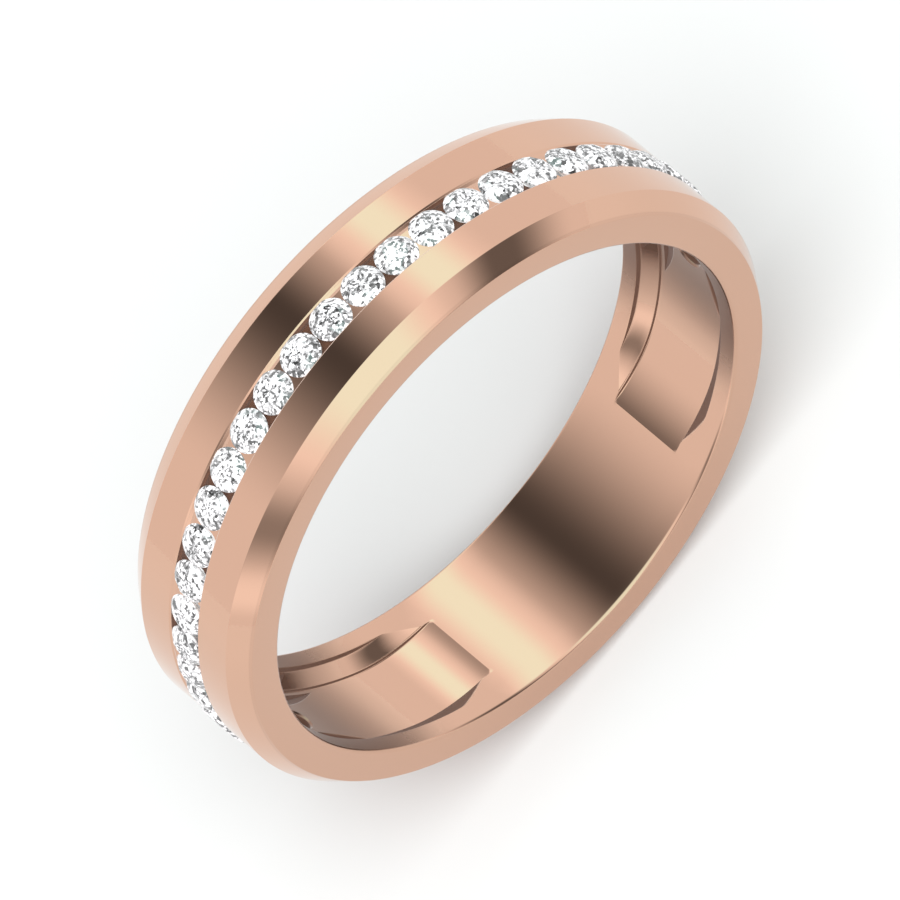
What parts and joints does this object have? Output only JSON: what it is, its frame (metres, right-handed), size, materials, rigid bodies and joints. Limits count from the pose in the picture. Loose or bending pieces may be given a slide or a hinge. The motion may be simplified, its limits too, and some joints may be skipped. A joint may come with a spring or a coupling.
{
  "type": "wedding band",
  "caption": "Rose gold finger ring with chamfered edges, a channel of round brilliants along its outside and a hollowed inner face.",
  "frame": {"origin": "centre of the finger bore, halfway across the band", "axes": "+Y along the finger axis, +Z towards the middle of the stone row, +X across the ring"},
  "size_m": [0.0234, 0.0056, 0.0233],
  "materials": {
    "rose_gold": "polished",
    "brilliant": "faceted"
  },
  "bodies": {
    "root": {"shank": "rose_gold", "stone_01": "brilliant", "stone_02": "brilliant", "stone_03": "brilliant", "stone_04": "brilliant", "stone_05": "brilliant", "stone_06": "brilliant", "stone_07": "brilliant", "stone_08": "brilliant", "stone_09": "brilliant", "stone_10": "brilliant", "stone_11": "brilliant", "stone_12": "brilliant", "stone_13": "brilliant", "stone_14": "brilliant", "stone_15": "brilliant", "stone_16": "brilliant", "stone_17": "brilliant", "stone_18": "brilliant", "stone_19": "brilliant", "stone_20": "brilliant", "stone_21": "brilliant", "stone_22": "brilliant", "stone_23": "brilliant", "stone_24": "brilliant", "stone_25": "brilliant", "stone_26": "brilliant", "stone_27": "brilliant", "stone_28": "brilliant", "stone_29": "brilliant", "stone_30": "brilliant"}
  },
  "joints": []
}
